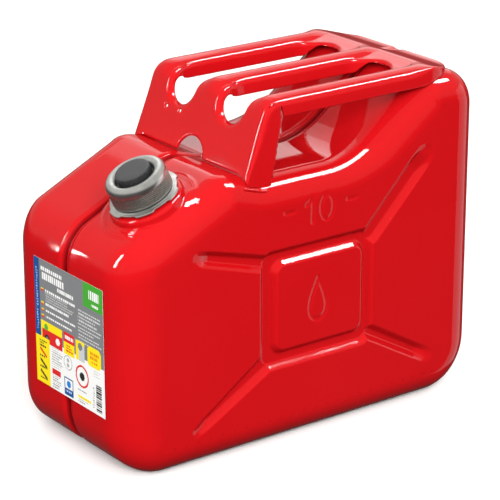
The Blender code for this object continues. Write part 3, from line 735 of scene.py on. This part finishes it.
def build_welds(material):
    """The seam's bead, one along each cheek's foot and one along the handle's rear edge."""
    def weld(name, node, path, radius, ripple, closed=False):
        points, faces = bead(path, radius, ripple, closed)
        add_piece(name, points, faces, material, "can", "red_paint", (node,))

    floor = OUTLINE - OUTLINE_NORMAL * (GROOVE_DEPTH - 1.25)
    weld("seam_bead", "seam_weld", np.insert(floor, 1, 0, axis=1), 0.8, 0.10, closed=True)
    for side, name in ((-1, "near"), (1, "far")):
        x = np.linspace(FOOT[0] + 1.5, FOOT[0] + 23, 44)
        y = np.full_like(x, HANDLE_HALF + 2.3)
        path = np.stack([x, side * y, roof_height(x, y) + 0.5], 1)
        weld("foot_bead_" + name, "handle_weld_" + name, path, 0.9, 0.25)
    y = np.linspace(-41, 41, 80)
    x = np.full_like(y, REAR_END + 0.7)
    weld("rear_bead", "handle_weld_rear", np.stack([x, y, roof_height(x, y) + 0.5], 1), 0.8, 0.2)


# ---- filler and cap: (radius, height) profiles in the filler's own frame ------
KNURLS = 96
BAND_RADIUS = 23.55
BAND_LOW, BAND_HIGH = 12.9, 24.1
BUTTON_TOP = 33.95
SPRING_RADIUS, SPRING_WIRE = 8.2, 0.6
SPRING_LOW, SPRING_HIGH = 24.2, 31.2


def build_collar(material):
    """The filler's collar and its stepped flange, which follows the curving shoulder."""
    flange = [(21.2, -0.6), (39.6, -0.55), (40.2, -0.2), (39.4, 0.15), (37.3, 0.25), (36.8, 0.70),
              (34.9, 0.75), (34.4, 1.20), (32.5, 1.25), (32.0, 1.70), (31.2, 1.75)]
    wall = [(30.2, 1.85), (29.6, 2.1), (29.4, 2.6), (29.4, 4.2)] + arc((25.9, 4.4), 3.5, 2, 80, 9)
    profile = flange + wall + [(24.5, 8.2), (22.5, 8.5), (21.2, 8.5)]
    side_radius = EDGE_RADIUS + (FRONT_RADIUS - EDGE_RADIUS) * math.sin(SLOPE) ** 2
    flat_half = WIDTH / 2 - side_radius
    front_radius, front_start = 38.0, 33.8

    def follow(angle, r, h):
        over_side = np.clip(-NECK.y - r * np.sin(angle) - flat_half, 0, side_radius)
        over_front = np.clip(-r * np.cos(angle) - front_start, 0, front_radius)
        drop = side_radius - np.sqrt(side_radius ** 2 - over_side ** 2)
        drop = drop + front_radius - np.sqrt(front_radius ** 2 - over_front ** 2)
        return h - drop * (1 - smooth(2.6, 4.2, h))

    points, faces = turned(profile, 200, height_of=follow)
    add_piece("neck_collar_fine", points, faces, material, "can", "red_paint", ("neck_collar",), FILLER, 40)


def build_ring(bright, knurled):
    """The cap's ring: a knurled band between two rows of beads, under a rolled crown."""
    rows = 45
    band = [(BAND_RADIUS, BAND_LOW + (BAND_HIGH - BAND_LOW) * k / rows) for k in range(rows + 1)]
    inner = [(22.7, 25.6), (20.6, 26.9), (14.65, 26.9), (14.6, 27.8)]
    crown = arc((19.2, 26.4), 4.6, 170, 4, 26) + [(23.8, 25.6), (23.8, 24.9), (23.7, 24.4)]
    profile = [(22.7, 12.7), (23.4, 12.7)] + band + crown[::-1] + inner[::-1]

    def within_band(r, h, margin):
        return (np.abs(r - BAND_RADIUS) < 0.05) & (h > BAND_LOW + margin) & (h < BAND_HIGH - margin)

    def knurl(angle, r, h):
        around = angle * KNURLS / 2
        climb = (h - BAND_LOW) * TURN / 5
        diamond = np.abs(np.sin(around + climb)) * np.abs(np.sin(around - climb))
        depth = np.where(within_band(r, h, 0.5), 0.75 * (1 - np.sqrt(diamond)) - 0.4, 0)
        from_end = np.minimum(np.abs(h - BAND_LOW - 0.3), np.abs(h - BAND_HIGH + 0.3))
        on_row = (from_end < 0.4) & within_band(r, h, -1)
        return r + depth + np.where(on_row, 0.34 * np.maximum(0, np.cos(angle * KNURLS)), 0)

    points, faces = turned(profile, KNURLS * 5, knurl)
    ring = add_piece("cap_ring_fine", points, faces, bright, "cap_ring", "plated_steel", ("cap_ring",),
                     FILLER, 50)
    # The knurled band's faces take the darker plating, painted shade for the knurl's grooves.
    ring.data.materials.append(knurled)
    radii, heights = np.array(profile).T
    on_band = within_band(radii, heights, 0.7)
    indices = on_band[np.array(faces) % len(profile)].all(1).astype(int)
    ring.data.polygons.foreach_set("material_index", indices)


def build_skirt(bright):
    """The lobed skirt under the ring."""
    lobes = 6
    skirt = ([(22.9, 10.1), (24.5, 9.95), (26.2, 9.8)] + arc((27.2, 10.55), 0.85, 250, 400, 12)
             + [(26.9, 11.35), (26.0, 11.5), (25.2, 11.75), (24.6, 12.1), (23.9, 12.3), (22.9, 12.3)])

    def lobe_wave(angle):
        wave = np.cos(lobes * angle + 0.6)
        return smooth(-0.35, 0.25, wave) * 2 - 1

    def lobe_radius(angle, r, h):
        outer = smooth(24.2, 27.4, r)
        return r + outer * (0.85 * lobe_wave(angle) - 0.35)

    def lobe_height(angle, r, h):
        outer = smooth(24.6, 27.6, r)
        return h - outer * 0.22 * lobe_wave(angle)

    points, faces = turned(skirt, 360, lobe_radius, lobe_height)
    add_piece("cap_skirt_fine", points, faces, bright, "cap_ring", "plated_steel", ("cap_skirt",), FILLER, 60)


def build_button(dark):
    """The relief button, a cup with a flange under the crown."""
    flange = [(11.3, 25.5), (15.4, 25.5), (15.5, 26.5), (13.7, 26.5)]
    wall = [(13.6, h) for h in (27, 29, 31, 32.4)] + arc((12.8, 33.1), 0.8, 5, 85, 6)
    top = [(r, BUTTON_TOP) for r in (11.3, 8, 4, 0.02)] + [(0.02, 32.3), (11.2, 32.3)]
    shell = flange + wall + top
    points, faces = turned(shell, 120)
    add_piece("relief_button_fine", points, faces, dark, "relief_button", "dark_steel", ("relief_button",),
              FILLER, 30)


def build_spring(material):
    """The relief spring between the button and the seal's carrier, drawn at one fixed length."""
    turns, steps, sides = 3.5, 168, 12
    along = np.linspace(0, 1, steps + 1)[:, None]
    around = np.linspace(0, TURN, sides, endpoint=False)[None, :]
    angle = TURN * turns * along
    r = SPRING_RADIUS + SPRING_WIRE * np.cos(around)
    h = SPRING_LOW + (SPRING_HIGH - SPRING_LOW) * along + SPRING_WIRE * np.sin(around)
    points = np.stack([r * np.cos(angle), r * np.sin(angle), h], -1).reshape(-1, 3)
    faces = [face[::-1] for face in grid_faces(steps + 1, sides)]
    faces.append(tuple(range(sides)))
    faces.append(tuple(range(steps * sides, (steps + 1) * sides))[::-1])
    spring = add_piece("relief_spring_fine", points, faces, material, "relief_button", "dark_steel",
                       ("relief_spring",), FILLER, 50)
    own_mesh(spring)


# ---- label ------------------------------------------------------------------
def label_colors(u, v):
    """Print of the label: plain blocks and bars in place of its words and marks."""
    white, grey = (0.86, 0.86, 0.85), (0.20, 0.205, 0.21)
    blue, green = (0.012, 0.075, 0.27), (0.06, 0.36, 0.035)
    yellow, red, black = (0.92, 0.72, 0.01), (0.68, 0.02, 0.02), (0.02, 0.02, 0.02)
    color = np.empty(u.shape + (3,))
    color[:] = white

    def block(u0, v0, u1, v1, ink):
        color[(u >= u0) & (u < u1) & (v >= v0) & (v < v1)] = ink

    def disc(cu, cv, radius, ink, thick=None):
        away = np.hypot(u - cu, (v - cv) * 1.07)
        color[(away < radius) & (away > (radius - thick if thick else -1))] = ink

    def lines(u0, v0, u1, rows, pitch, height, ink, seed=0.0):
        for k in range(rows):
            top = v0 + k * pitch
            reach = u0 + (u1 - u0) * (0.62 + 0.38 * abs(math.sin(2.3 * k + seed)))
            word = np.sin(u * 210 + 9 * math.sin(k * 1.7 + seed)) > -0.72
            color[(u >= u0) & (u < reach) & (v >= top) & (v < top + height) & word] = ink

    block(0, 0, 1, 0.62, grey)
    block(0, 0, 0.08, 0.625, blue)
    block(0.72, 0, 1, 0.19, green)
    lines(0.10, 0.055, 0.42, 1, 0.1, 0.03, white, 1.2)
    lines(0.11, 0.10, 0.50, 1, 0.1, 0.05, white, 0.7)
    lines(0.34, 0.165, 0.58, 1, 0.1, 0.03, white, 1.9)
    for top in (0.225, 0.335, 0.385, 0.435):
        block(0.10, top, 0.135, top + 0.012, yellow)
        block(0.10, top + 0.012, 0.135, top + 0.024, red)
        lines(0.16, top, 0.60, 1, 0.1, 0.018, white, top * 20)
    lines(0.16, 0.25, 0.58, 4, 0.02, 0.009, (0.5, 0.5, 0.5), 0.4)
    lines(0.64, 0.24, 0.97, 12, 0.027, 0.011, (0.62, 0.62, 0.62), 2.0)
    lines(0.025, 0.08, 0.055, 24, 0.021, 0.012, (0.35, 0.5, 0.8), 0.0)
    lines(0.80, 0.05, 0.95, 1, 0.1, 0.07, white, 1.5)
    lines(0.84, 0.145, 0.93, 1, 0.1, 0.022, white, 1.5)

    block(0.08, 0.62, 1, 1, white)
    block(0.72, 0.50, 1, 0.62, grey)
    block(0.085, 0.485, 0.40, 0.655, yellow)
    block(0.10, 0.55, 0.40, 0.655, red)
    disc(0.17, 0.62, 0.035, black)
    disc(0.17, 0.62, 0.018, grey)
    disc(0.33, 0.60, 0.030, white)
    disc(0.16, 0.53, 0.028, (0.1, 0.4, 0.05))
    block(0.42, 0.48, 0.575, 0.56, red)
    block(0.42, 0.56, 0.575, 0.655, yellow)
    lines(0.44, 0.505, 0.56, 1, 0.1, 0.03, white, 1.5)
    lines(0.45, 0.58, 0.55, 3, 0.02, 0.01, red, 0.3)
    block(0.595, 0.49, 0.72, 0.645, yellow)
    block(0.64, 0.52, 0.72, 0.645, (0.55, 0.56, 0.58))
    disc(0.66, 0.535, 0.032, grey)
    rounded = np.maximum(np.abs(u - 0.86) - 0.07, 0) + np.maximum(np.abs(v - 0.565) - 0.05, 0)
    color[rounded < 0.028] = yellow
    lines(0.80, 0.525, 0.93, 2, 0.035, 0.022, (0.75, 0.25, 0.01), 1.4)
    lines(0.82, 0.60, 0.91, 1, 0.1, 0.012, (0.75, 0.25, 0.01), 1.4)

    block(0, 0.625, 0.205, 1, yellow)
    lines(0.05, 0.65, 0.17, 3, 0.021, 0.012, black, 0.9)
    for top in (0.72, 0.81, 0.90):
        rising = (v - top - 0.03) - (u - 0.11) * 0.55
        tick = (np.abs(rising) < 0.012) & (np.abs(u - 0.105) < 0.05) & (v < 0.99)
        color[tick] = red if top < 0.8 else black
        lines(0.05, top + 0.055, 0.16, 1, 0.1, 0.012, black, top * 9)
    lines(0.235, 0.66, 0.40, 9, 0.019, 0.008, (0.35, 0.35, 0.35), 0.2)
    block(0.235, 0.835, 0.36, 0.875, red)
    lines(0.235, 0.885, 0.37, 6, 0.018, 0.008, (0.25, 0.25, 0.25), 0.8)
    disc(0.475, 0.72, 0.062, (0.3, 0.3, 0.3), 0.006)
    disc(0.475, 0.70, 0.018, (0.4, 0.4, 0.4))
    disc(0.475, 0.74, 0.018, (0.4, 0.4, 0.4))
    block(0.415, 0.845, 0.545, 0.985, blue)
    block(0.424, 0.855, 0.536, 0.93, white)
    disc(0.48, 0.893, 0.03, (0.02, 0.2, 0.6))
    lines(0.43, 0.945, 0.53, 1, 0.1, 0.018, (0.5, 0.65, 0.9), 0.8)
    disc(0.68, 0.765, 0.095, red, 0.017)
    disc(0.68, 0.765, 0.035, black)
    lines(0.61, 0.875, 0.77, 1, 0.1, 0.012, (0.3, 0.3, 0.3), 0.5)
    block(0.61, 0.925, 0.80, 0.948, yellow)
    lines(0.61, 0.955, 0.77, 2, 0.018, 0.008, (0.3, 0.3, 0.3), 0.9)
    lines(0.85, 0.66, 0.95, 3, 0.02, 0.008, (0.4, 0.4, 0.4), 0.9)
    bars = np.sin(v * 330) + np.sin(v * 523 + 1) > -0.25
    color[bars & (u > 0.88) & (u < 0.96) & (v > 0.76) & (v < 0.975)] = black
    lines(0.835, 0.80, 0.86, 9, 0.019, 0.010, (0.3, 0.3, 0.3), 0.9)
    return color


def build_label(material):
    """A thin film in small cells, each of which carries the colour of its print."""
    low, high = [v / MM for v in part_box("label")]
    x_back, x_front = high.x - 0.02, low.x + 0.05
    cell = 0.5
    paper_edge = (0.7, 0.7, 0.7)
    wide, tall = int((high.y - low.y) / cell), int((high.z - low.z) / cell)
    y = np.linspace(high.y, low.y, wide + 1)
    z = np.linspace(high.z, low.z, tall + 1)
    zs, ys = np.meshgrid(z, y, indexing="ij")
    front = np.stack([np.full_like(ys, x_front), ys, zs], -1).reshape(-1, 3)
    faces = grid_faces(tall + 1, wide + 1, wrap_columns=False)
    rim = (list(range(wide + 1)) + [i * (wide + 1) + wide for i in range(1, tall + 1)]
           + [tall * (wide + 1) + j for j in range(wide - 1, -1, -1)]
           + [i * (wide + 1) for i in range(tall - 1, 0, -1)])
    back = front[rim]
    back[:, 0] = x_back
    base = len(front)
    for k, edge in enumerate(rim):
        after = (k + 1) % len(rim)
        faces.append((edge, base + k, base + after, rim[after]))
    faces.append(tuple(base + k for k in range(len(rim)))[::-1])
    points = np.concatenate([front, back])
    label = add_piece("label_film", points, faces, material, "can", "label_film", ("label",), sharp=20)
    ink = label.data.color_attributes.new("print", 'FLOAT_COLOR', 'CORNER')
    centres = np.array([p.center for p in label.data.polygons]) / MM
    u = (high.y - centres[:, 1]) / (high.y - low.y)
    v = (high.z - centres[:, 2]) / (high.z - low.z)
    colors = label_colors(u, v)
    colors[tall * wide:] = paper_edge
    corners = np.ones((len(label.data.loops), 4))
    for polygon, color in zip(label.data.polygons, colors):
        corners[polygon.loop_start:polygon.loop_start + polygon.loop_total, :3] = color
    ink.data.foreach_set("color", corners.ravel())


# ---- carried-over CAD pieces --------------------------------------------------
def dress_inner_pieces(bright, dark):
    """Materials of the pieces inside the can and the cap, whose CAD shapes stay."""
    brass = plain_metal("brass", (0.70, 0.48, 0.18), 0.35)
    zinc = plain_metal("zinc_tube", (0.50, 0.51, 0.52), 0.38)
    black = rubber()
    finishes = {"filler_neck": zinc, "vent_pipe": zinc, "vent_clip": zinc, "snap_ring": dark,
                "seal_carrier": bright, "cap_gasket": black, "relief_stem": brass,
                "valve_disc": bright, "valve_seal": black}
    for node, material in finishes.items():
        mesh = frame["nodes"][node].data
        mesh.materials.clear()
        mesh.materials.append(material)


# ---- studio -------------------------------------------------------------------
def area_light(name, direction, distance, size, radiance, along, target=(0, 0, 0.14)):
    """A rectangular lamp that faces its target, with its first side along a direction."""
    data = bpy.data.lights.new(name, 'AREA')
    data.shape = 'RECTANGLE'
    data.size, data.size_y = size
    data.energy = radiance * math.pi * size[0] * size[1]
    light = bpy.data.objects.new(name, data)
    bpy.context.scene.collection.objects.link(light)
    toward = Vector(direction).normalized()
    across = Vector(along)
    across = (across - toward * across.dot(toward)).normalized()
    turn = Matrix((across, toward.cross(across), toward)).transposed().to_4x4()
    light.matrix_world = Matrix.Translation(Vector(target) + toward * distance) @ turn
    return light


def painted_pieces():
    """The enamelled pieces, which alone show the small lamps."""
    painted = bpy.data.collections.new("painted_pieces")
    for obj in bpy.data.objects:
        if obj.type == 'MESH' and any(m and m.name.startswith("red_enamel") for m in obj.data.materials):
            painted.objects.link(obj)
    return painted


def build_world():
    """A white room over a dark surround."""
    ground, walls = (0.10, 0.10, 0.10, 1), (1, 0.98, 0.94, 1)
    world = bpy.data.worlds.new("studio")
    bpy.context.scene.world = world
    world.use_nodes = True
    nodes, links = world.node_tree.nodes, world.node_tree.links
    background = nodes["Background"]
    background.inputs["Strength"].default_value = 0.85
    direction = nodes.new("ShaderNodeTexCoord").outputs["Generated"]
    split = nodes.new("ShaderNodeSeparateXYZ")
    links.new(direction, split.inputs["Vector"])
    sky = nodes.new("ShaderNodeValToRGB")
    links.new(split.outputs["Z"], sky.inputs["Fac"])
    for element, height, color in zip(sky.color_ramp.elements, (0.0, 0.12), (ground, walls)):
        element.position = height
        element.color = color
    links.new(sky.outputs["Color"], background.inputs["Color"])


def build_floor():
    """A pale floor that throws neither its light nor its reflection on the can."""
    reach = 6
    mesh = bpy.data.meshes.new("floor")
    mesh.from_pydata([(-reach, -reach, 0), (reach, -reach, 0), (reach, reach, 0), (-reach, reach, 0)],
                     [], [(0, 1, 2, 3)])
    floor = bpy.data.objects.new("floor", mesh)
    bpy.context.scene.collection.objects.link(floor)
    floor.visible_glossy = False
    floor.visible_diffuse = False
    shader = Shader("pale_floor", (0.93, 0.93, 0.93), 0.9)
    shader.set("Specular IOR Level", 0.1)
    shader.ramp(shader.noise(3, 2), (0.92, 0.92, 0.92), (0.94, 0.94, 0.94), "Base Color")
    mesh.materials.append(shader.material)


def build_lamps():
    """Soft lamps that light the can, and small bright ones that only its gloss shows."""
    for lamp in (area_light("key", (-0.45, -0.78, 0.48), 3.0, (1.6, 1.0), 19, (1, 0, 0)),
                 area_light("front_fill", (-0.95, -0.1, 0.3), 2.5, (1.0, 1.0), 7, (0, 1, 0)),
                 area_light("hand_space_fill", (0.1, -0.65, 0.75), 2.5, (1.2, 0.8), 5, (1, 0, 0)),
                 area_light("back_fill", (0.72, 0.69, 0.08), 3.0, (1.6, 1.0), 13, (0.69, -0.72, 0))):
        lamp.visible_glossy = False
    for lamp in (area_light("cap_light", (0.30, 0.60, 0.70), 2.6, (1.4, 1.4), 1.5, (1, 0, 0)),
                 area_light("side_panel", (0.93, -0.36, -0.14), 3.0, (2.3, 3.0), 1.6, (0.36, 0.93, 0))):
        lamp.visible_diffuse = False
    shoulder = (-0.169, -0.034, 0.168)
    painted = painted_pieces()
    for lamp in (area_light("soft_box", (0.60, 0.58, 0.56), 2.6, (1.8, 1.8), 1.4, (1, 0, 0)),
                 area_light("top_strip", (0.39, -0.26, 0.90), 1.6, (1.05, 0.34), 85, (1, 0, 0)),
                 area_light("window", (-0.86, 0.20, 0.44), 1.6, (0.2, 0.7), 85, (0, 1, 0)),
                 area_light("shoulder_lamp", (-0.928, 1.28, 0.067), 1.58, (0.012, 0.4), 120, (0.81, 0.59, 0),
                            shoulder)):
        lamp.visible_diffuse = False
        lamp.light_linking.receiver_collection = painted


def build_camera():
    """A long lens from the front left, with plain colour conversion."""
    data = bpy.data.cameras.new("camera")
    data.lens = CAMERA_LENS
    data.sensor_width = 36
    data.clip_start, data.clip_end = 0.05, 60
    camera = bpy.data.objects.new("camera", data)
    bpy.context.scene.collection.objects.link(camera)
    back = Vector((-math.sin(CAMERA_AZIMUTH) * math.cos(CAMERA_HEIGHT),
                   -math.cos(CAMERA_AZIMUTH) * math.cos(CAMERA_HEIGHT), math.sin(CAMERA_HEIGHT)))
    camera.location = LOOK_AT + back * CAMERA_DISTANCE
    camera.rotation_mode = 'QUATERNION'
    camera.rotation_quaternion = back.to_track_quat('Z', 'Y')
    bpy.context.scene.camera = camera
    bpy.context.scene.view_settings.view_transform = 'Standard'
    bpy.context.scene.view_settings.look = 'None'


red = paint("red_enamel").material
steel = satin_steel()
button_metal = dark_steel()
build_shells(body_paint())
build_handle(red)
build_welds(red)
build_collar(red)
build_ring(steel, knurled_steel())
build_skirt(steel)
build_button(button_metal)
build_spring(button_metal)
build_label(printed_film())
dress_inner_pieces(steel, button_metal)
build_world()
build_floor()
build_lamps()
build_camera()
